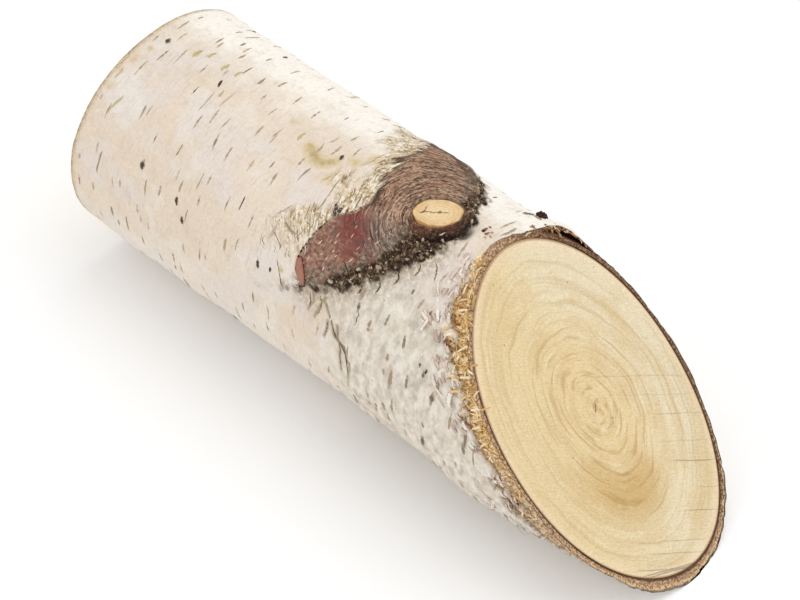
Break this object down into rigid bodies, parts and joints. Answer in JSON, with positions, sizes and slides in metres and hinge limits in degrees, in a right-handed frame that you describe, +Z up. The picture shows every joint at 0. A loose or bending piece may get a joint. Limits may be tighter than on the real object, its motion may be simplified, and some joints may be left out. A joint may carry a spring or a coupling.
{
  "type": "birch log",
  "caption": "Short birch log on its side, sawn square at one end and slanting at the other, with white bark, a dark branch scar and a cut branch stub.",
  "frame": {"origin": "on the ground, under the middle of the log's box", "axes": "+Z up; +X along the log, from the square end towards the slanting cut, which faces up and towards +X"},
  "size_m": [0.2673, 0.0934, 0.0956],
  "materials": {
    "wood": "freshly sawn pale birch wood, matt",
    "bark": "white papery birch bark with dark lenticels, matt"
  },
  "bodies": {
    "root": {"wood": "wood", "bark": "bark"}
  },
  "joints": []
}
